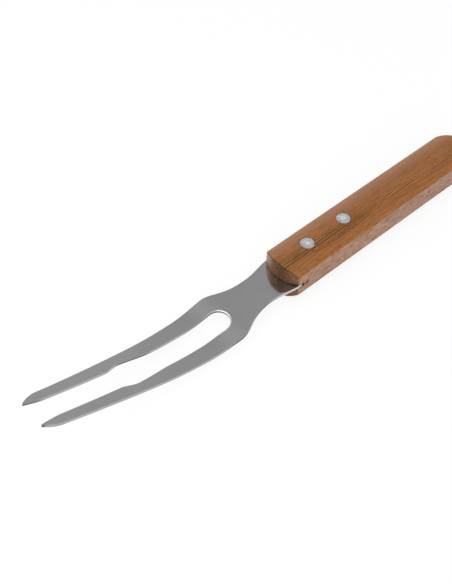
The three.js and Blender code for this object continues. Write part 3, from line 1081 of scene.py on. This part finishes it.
@dataclass
class Blade:
    """The stamped and bent steel sheet, with eased edges and the tang that the handle hides."""

    datum: Datum
    blank: Blank
    holes: RivetHoles
    finish: PolishedSteel = PolishedSteel()
    profile: SideProfile = SideProfile()
    thickness: float = 1.8 * MM
    edge_room: float = 0.3
    edge_steps: int = 5
    bevel_slope: float = 0.78
    columns: int = 8
    fine_step: float = 0.35 * MM
    coarse_step: float = 0.9 * MM
    tang_step: float = 3.0 * MM
    end_steps: int = 24
    hole_sides: int = 48
    sharp: float = 50.0

    def build(self) -> Piece:
        """Builds the blade.

        Returns:
            The blade's object, not yet dressed.
        """
        lines: list[np.ndarray] = []
        faces: Faces = []
        for half in Half:
            rings = []
            for near, far in self._rows():
                ring = self._ring(near, far)
                ring[:, 1] *= half.value
                numbers = [len(lines) + k for k in range(len(ring))]
                rings.append(numbers + numbers[:1] if near.normal.any() else numbers)
                lines.extend(ring)
            faces += [rings[0], rings[-1][:-1]]
            faces += [face for pair in zip(rings, rings[1:]) for face in quads(*pair)]
        flat, shares, tones = np.split(np.array(lines), (AXES, AXES + 1), axis=1)
        layers = {self.finish.edge_layer: shares, self.finish.tone_layer: tones}
        blade = mesh_object("blade", self.profile.bend(flat, self.datum), faces, layers)
        carve(blade, self.holes.cutters(self.datum, self.datum.sheet_z, self.thickness, self.hole_sides))
        smooth(blade, self.sharp)
        return blade

    def dress(self, blade: Piece) -> None:
        """Gives the blade its finish and its place in the frame."""
        settle(blade, Node.BLADE, self.finish.make())

    @staticmethod
    def _stations(stops: Sequence[float], steps: Sequence[float]) -> list[float]:
        """Even steps from stop to stop, without the last stop.

        Args:
            stops: places along the sheet.
            steps: the longest step after each stop.

        Returns:
            The places of the steps.
        """
        stations = []
        for start, end, step in zip(stops, stops[1:], steps):
            count = max(1, math.ceil((end - start) / step))
            stations += [start + (end - start) * k / count for k in range(count)]
        return stations

    def _rows(self) -> list[tuple[EdgeSpot, EdgeSpot]]:
        """Rows across one half of the blank.

        Returns:
            For each row, its spot on the inner edge or the middle line, and its spot on the outer edge.
        """
        blank, fine, coarse = self.blank, self.fine_step, self.coarse_step
        solid = self._stations((
            blank.tang_end,
            blank.tang_end + blank.tang_corner,
            -blank.flare_setback - blank.tang_slope,
            0.0,
            blank.apex - 2 * blank.slot_edge_radius,
        ), (fine, self.tang_step, fine, coarse))
        tine = self._stations((
            blank.slot_centre,
            blank.notch[0],
            blank.step[0],
            blank.inner_point[0],
            blank.tip,
        ), (coarse, fine, coarse, fine))
        inner = [blank.middle(station) for station in solid]
        inner += [blank.slot_end(QUARTER_TURN * k / self.end_steps) for k in range(self.end_steps)]
        inner += [blank.inner.spot(station) for station in (*tine, blank.tip)]
        return [(spot, blank.outer.spot(spot.place[0])) for spot in inner]

    def _ladder(self, spot: EdgeSpot, room: float) -> np.ndarray:
        """Lines down an eased edge, from the upper face to the lower one.

        Args:
            spot: the edge.
            room: width of the steel there, which limits the easing.

        Returns:
            Rows of station, place across, height, how much of the line is a cut edge, and its tone.
        """
        lines = []
        for face, radius, bevel in (1.0, spot.radius, spot.bevel), (-1.0, self.blank.edge_radius, 0.0):
            radius = min(radius, self.edge_room * room)
            rungs = []
            for k in range(self.edge_steps + 1):
                share = k / self.edge_steps
                turn = QUARTER_TURN * share
                inset = radius * (bevel * (1.0 - share) + (1.0 - bevel) * (1.0 - math.sin(turn)))
                fall = radius * (bevel * share * self.bevel_slope + (1.0 - bevel) * (1.0 - math.cos(turn)))
                # the bevel takes the brightest tone, partly polish and partly a painted highlight; the edge's
                # wall takes its own painted tone
                cut = (1.0, spot.tone) if k == self.edge_steps else (bevel, EdgeTone.POLISHED)
                rungs.append((*(spot.place - inset * spot.normal), face * (self.thickness / 2 - fall), *cut))
            lines += rungs if face > 0 else reversed(rungs)
        return np.array(lines)

    def _ring(self, near: EdgeSpot, far: EdgeSpot) -> np.ndarray:
        """A section: out over the upper face, down the outer edge, back below and up the inner edge.

        Args:
            near: its spot on the inner edge or the middle line.
            far: its spot on the outer edge.

        Returns:
            Rows as in a ladder. A section that starts on the middle line has no inner edge.
        """
        room = far.place[1] - near.place[1]
        inner, outer = self._ladder(near, room), self._ladder(far, room)
        share = np.linspace(0.0, 1.0, self.columns + 1)[:, None]
        upper, lower = (inner[end] + (outer[end] - inner[end]) * share for end in (0, -1))
        upper[:, AXES:] = lower[:, AXES:] = 0.0
        wall = inner[-2:0:-1] if near.normal.any() else inner[:0]
        return np.vstack((upper, outer[1:-1], lower[::-1], wall))


@dataclass
class Handle:
    """The wooden block: flat sides, crowned top and underside, arc-shaped ends, a kerf and two holes."""

    datum: Datum
    holes: RivetHoles
    width: float
    length: float
    height: float
    end_bulge: float
    crown_rise: float = 4.6 * MM
    edge_radius: float = 0.8 * MM
    end_edge: float = 0.5 * MM
    end_steps: int = 5
    kerf_height: float = 1.96 * MM
    kerf_depth: float = 6.9 * MM
    kerf_mouth: float = 3.9 * MM
    kerf_bed: float = 0.3 * MM
    pocket_half: float = 8.9 * MM
    pocket_end: float = 58.6 * MM
    crown_steps: int = 28
    edge_steps: int = 6
    side_steps: int = 6
    length_steps: int = 72
    hole_sides: int = 72
    sharp: float = 38.0

    def build(self) -> Piece:
        """Builds the handle.

        Returns:
            The handle's object, not yet dressed.
        """
        rings = self._rings()
        vertices, faces = loft(rings)
        sides = len(rings[0])
        for start in (0, len(vertices) - sides):
            faces += self._end_faces(range(start, start + sides))
        handle = mesh_object("handle_block", vertices, faces)
        carve(handle, self._cutters())
        smooth(handle, self.sharp)
        return handle

    def dress(self, handle: Piece) -> None:
        """Gives the handle its finish and its place in the frame."""
        settle(handle, Node.HANDLE, OiledWood(self._kerf()).make())

    def crown(self, y: float) -> float:
        """Height of the crowned top over the handle's middle, at a place across it."""
        return self.height / 2 - self.crown_rise + arc_height(self.width / 2, self.crown_rise, y)

    def _rings(self) -> list[list[Place]]:
        """Cross-sections from the rear end to the front one, which draw in over the eased edges of the ends.

        Returns:
            The places of each section.
        """
        turns = [QUARTER_TURN * k / self.end_steps for k in range(1, self.end_steps + 1)]
        ease = [(self.end_edge * (1.0 - math.cos(turn)), self.end_edge * math.sin(turn)) for turn in turns]
        stops = [(inset, out, 0.0) for inset, out in reversed(ease)]
        stops += [(0.0, 0.0, k / self.length_steps) for k in range(self.length_steps + 1)]
        stops += [(inset, out, 1.0) for inset, out in ease]
        rings = []
        for inset, out, share in stops:
            ring = []
            for y, z in self._section(inset):
                front = arc_height(self.width / 2, self.end_bulge, y) - self.end_edge
                rear = -self.length - front
                x = rear + (front - rear) * share + out * (2.0 * share - 1.0)
                ring.append((self.datum.corner_x + x, y, self.datum.middle_z + z))
            rings.append(ring)
        return rings

    def _section(self, inset: float) -> list[Point]:
        """Cross-section, as places across and heights, in order from the left side over the top.

        Args:
            inset: how far it is drawn in from the faces.

        Returns:
            The upper half from left to right, then the lower half from right to left.
        """
        half = self.width / 2
        radius = arc_radius(half, self.crown_rise)
        centre = self.height / 2 - radius
        ease_y = half - self.edge_radius
        ease_z = centre + math.sqrt((radius - self.edge_radius) ** 2 - ease_y ** 2)
        meet = math.atan2(ease_z - centre, ease_y)
        ease, crown = self.edge_radius - inset, radius - inset
        upper = [(half - inset, ease_z * (k + 0.5) / self.side_steps) for k in range(self.side_steps)]
        for k in range(self.edge_steps):
            turn = meet * k / self.edge_steps
            upper.append((ease_y + ease * math.cos(turn), ease_z + ease * math.sin(turn)))
        for k in range(self.crown_steps):
            turn = meet + (QUARTER_TURN - meet) * k / self.crown_steps
            upper.append((crown * math.cos(turn), centre + crown * math.sin(turn)))
        upper = [*upper, (0.0, centre + crown), *((-y, z) for y, z in reversed(upper))]
        return [*upper, *((-y, -z) for y, z in upper)]

    def _end_faces(self, ring: Sequence[int]) -> Faces:
        """Upright strips over one end, each between two neighbours on the top and on the underside.

        Args:
            ring: numbers of the end's vertices.

        Returns:
            The faces.
        """
        half, side = len(ring) // 2, self.side_steps + 1
        upper, lower = ring[:half], ring[half:][::-1]
        strips = quads(upper[side:-side], lower[side:-side])
        for part in (slice(side + 1), slice(-side - 1, None)):
            strips.append((*upper[part], *reversed(lower[part])))
        return strips

    def _kerf(self) -> Kerf:
        """Where the saw cut lies."""
        return Kerf(self.datum.corner_x - self.kerf_depth, self.datum.sheet_z, self.kerf_height / 2)

    def _cutters(self) -> list[Piece]:
        """Solids to cut out of the block: the saw kerf, the tang's pocket, the kerf's run-out and the holes.

        Returns:
            The solids.
        """
        cut = self._kerf()
        past, bed = 2 * self.end_bulge, self.width / 2 - self.kerf_bed
        slabs = (
            ("kerf_mouth", -self.kerf_mouth, past, -self.width, self.width),
            ("pocket", -self.pocket_end, past, -self.pocket_half, self.pocket_half),
            ("kerf_run_left", -self.kerf_depth, 0.0, bed, self.width),
            ("kerf_run_right", -self.kerf_depth, 0.0, -self.width, -bed),
        )
        cutters = []
        for name, rear, front, right, left in slabs:
            corners = ((rear, right), (front, right), (front, left), (rear, left))
            outline = [after(corner, self.datum.corner_x, 0.0) for corner in corners]
            cutters.append(prism(name, outline, cut.middle - cut.half, cut.middle + cut.half))
        return cutters + self.holes.cutters(self.datum, self.datum.middle_z, self.height, self.hole_sides)


@dataclass
class Rivet:
    """One solid pin, hammered over at both ends and sanded to the crown of the handle."""

    name: str
    node: Node
    handle: Handle
    station: float
    radius: float
    finish: PeenedAluminium = PeenedAluminium()
    edge: float = 0.1 * MM
    proud: float = 0.04 * MM
    dent: float = 0.05 * MM
    dent_size: float = 1.5 * MM
    rings: int = 12
    sides: int = 72
    sharp: float = 50.0

    def build(self) -> Piece:
        """Builds the rivet.

        Returns:
            The rivet's object, not yet dressed.
        """
        distances = [self.radius * k / self.rings for k in range(self.rings + 1)]
        rings = [self._ring(distance, 1.0) for distance in distances]
        rings += [self._ring(distance, -1.0) for distance in reversed(distances)]
        pin = mesh_object(self.name, *loft(rings))
        smooth(pin, self.sharp)
        return pin

    def dress(self, pin: Piece) -> None:
        """Gives the rivet its finish and its place in the frame."""
        settle(pin, self.node, self.finish.make())

    def _ring(self, distance: float, up: float) -> list[Place]:
        """Places round an end of the pin.

        Args:
            distance: distance from the pin's axis.
            up: 1 for the upper end, -1 for the lower one.

        Returns:
            The places.
        """
        datum, share = self.handle.datum, distance / self.radius
        fall = max(0.0, distance - (self.radius - self.edge))
        ease = self.edge - math.sqrt(max(0.0, self.edge ** 2 - fall ** 2))
        ring = []
        for x, y in circle(0.0, distance, self.sides):
            dent = self.dent * noise.noise(Vector((x, y, up * self.station)) / self.dent_size)
            height = self.handle.crown(y) + self.proud * (1.0 - share ** 2) + dent * (1.0 - share ** 4) - ease
            ring.append((datum.corner_x + self.station + x, y, datum.middle_z + up * height))
        return ring


@dataclass(frozen=True)
class Lamp:
    """A soft lamp, wide and high, that points at the fork."""

    name: str
    place: Place
    size: Point
    power: float
    mirrored: bool = False

    def build(self) -> None:
        """Hangs the lamp."""
        light = bpy.data.lights.new(self.name, "AREA")
        light.shape = "RECTANGLE"
        light.size, light.size_y = self.size
        light.energy = self.power
        lamp = add_object(self.name, light)
        lamp.location = self.place
        lamp.visible_glossy = self.mirrored
        lamp.rotation_euler = (-Vector(self.place)).to_track_quat("-Z", "Y").to_euler()


@dataclass(frozen=True)
class Studio:
    """A white floor, a grey sky with a pale horizon and a pale front, soft lamps and the camera."""

    floor_reach: float = 8.0
    floor_sides: int = 64
    sky: Colour = (0.50, 0.50, 0.50, 1.0)
    zenith: Colour = (0.457, 0.457, 0.46, 1.0)
    zenith_rise: Ramp = Ramp(0.45, 0.8)
    front: Colour = (0.72, 0.72, 0.72, 1.0)
    front_ahead: Ramp = Ramp(0.15, 0.45)
    front_rise: Ramp = Ramp(0.5, 0.7, 1.0, 0.0)
    horizon: Colour = (1.0, 1.0, 1.0, 1.0)
    horizon_rise: Ramp = Ramp(0.10, 0.20, 1.0, 0.0)
    target: Place = (24.09 * MM, -10.33 * MM, 11.45 * MM)
    distance: float = 520.89 * MM
    azimuth: float = math.radians(-133.395)
    elevation: float = math.radians(49.71)
    roll: float = math.radians(1.327)
    lens: float = 61.64
    clip_start: float = 10.0 * MM
    lamps: tuple[Lamp, ...] = (
        Lamp("top_softbox", (0.55, 0.35, 1.25), (1.35, 1.8), 8.8),
        Lamp("side_softbox", (0.85, 0.95, 0.50), (1.5, 1.1), 6.7),
        Lamp("front_softbox", (0.95, -0.14, 0.995), (2.1, 1.0), 4.2, True),
    )

    def build(self) -> None:
        """Builds the floor, the light and the camera."""
        self._floor()
        self._sky()
        for lamp in self.lamps:
            lamp.build()
        self._camera()
        bpy.context.scene.view_settings.view_transform = "Standard"

    def _floor(self) -> None:
        """Lays the floor, level with the lowest place of the fork."""
        level = cad_box[0].z
        rim = [(*place, level) for place in circle(0.0, self.floor_reach, self.floor_sides)]
        floor = mesh_object("floor", rim, [range(self.floor_sides)])
        floor.data.materials.append(StudioWhite().make())

    def _sky(self) -> None:
        """Makes the world: pale near the horizon and past the tips of the tines, grey above."""
        world = bpy.data.worlds.new("studio_sky")
        world.use_nodes = True
        bpy.context.scene.world = world
        graph = Graph(world.node_tree)
        way = graph.axes(graph.places("Generated"))
        front = graph.times(graph.step(way["X"], self.front_ahead), graph.step(way["Z"], self.front_rise))
        colour = graph.coats(
            self.sky,
            (graph.step(way["Z"], self.zenith_rise), self.zenith),
            (front, self.front),
            (graph.step(way["Z"], self.horizon_rise), self.horizon),
        )
        light = graph.add("Background", {"Color": colour, "Strength": 1.0})
        graph.add("OutputWorld", {"Surface": light.outputs[0]})

    def _camera(self) -> None:
        """Sets up the camera at the photograph's viewing angle."""
        flat, down = math.cos(self.elevation), -math.sin(self.elevation)
        ahead = Vector((flat * math.cos(self.azimuth), flat * math.sin(self.azimuth), down))
        level = ahead.cross(Vector((0.0, 0.0, 1.0))).normalized()
        upright = level.cross(ahead)
        right = level * math.cos(self.roll) + upright * math.sin(self.roll)
        turn = Matrix((right, right.cross(ahead), -ahead)).transposed().to_4x4()
        lens = bpy.data.cameras.new("camera")
        lens.lens = self.lens
        lens.clip_start = self.clip_start
        camera = add_object("camera", lens)
        camera.matrix_world = Matrix.Translation(Vector(self.target) - ahead * self.distance) @ turn
        bpy.context.scene.camera = camera


@dataclass(frozen=True)
class Fork:
    """The whole fork: sizes that its pieces share."""

    end_bulge: float = 4.5 * MM
    sheet_drop: float = 0.46 * MM
    rivet_setback: float = 17.4 * MM
    rivet_pitch: float = 27.7 * MM
    rivet_radius: float = 3.86 * MM
    rivet_gap: float = 0.19 * MM

    def build(self) -> None:
        """Builds and dresses the pieces in order."""
        low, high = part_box(Node.HANDLE.value)
        width, height = high.y - low.y, high.z - low.z
        length = high.x - low.x - 2 * self.end_bulge
        middle = (low.z + high.z) / 2
        datum = Datum(high.x - self.end_bulge, middle, middle - self.sheet_drop)
        stations = (-self.rivet_setback, -self.rivet_setback - self.rivet_pitch)
        holes = RivetHoles(stations, self.rivet_radius + self.rivet_gap)
        blade = Blade(datum, Blank(width / 2, stations[1]), holes)
        handle = Handle(datum, holes, width, length, height, self.end_bulge)
        rivets = [
            Rivet("rivet_pin_front", Node.RIVET_FRONT, handle, stations[0], self.rivet_radius),
            Rivet("rivet_pin_rear", Node.RIVET_REAR, handle, stations[1], self.rivet_radius),
        ]
        for part in (blade, handle, *rivets):
            part.dress(part.build())


def main() -> None:
    """Builds the studio and the fork."""
    logging.basicConfig(level=logging.INFO, format="%(name)s: %(message)s")
    Studio().build()
    Fork().build()


if __name__ == "__main__":
    main()
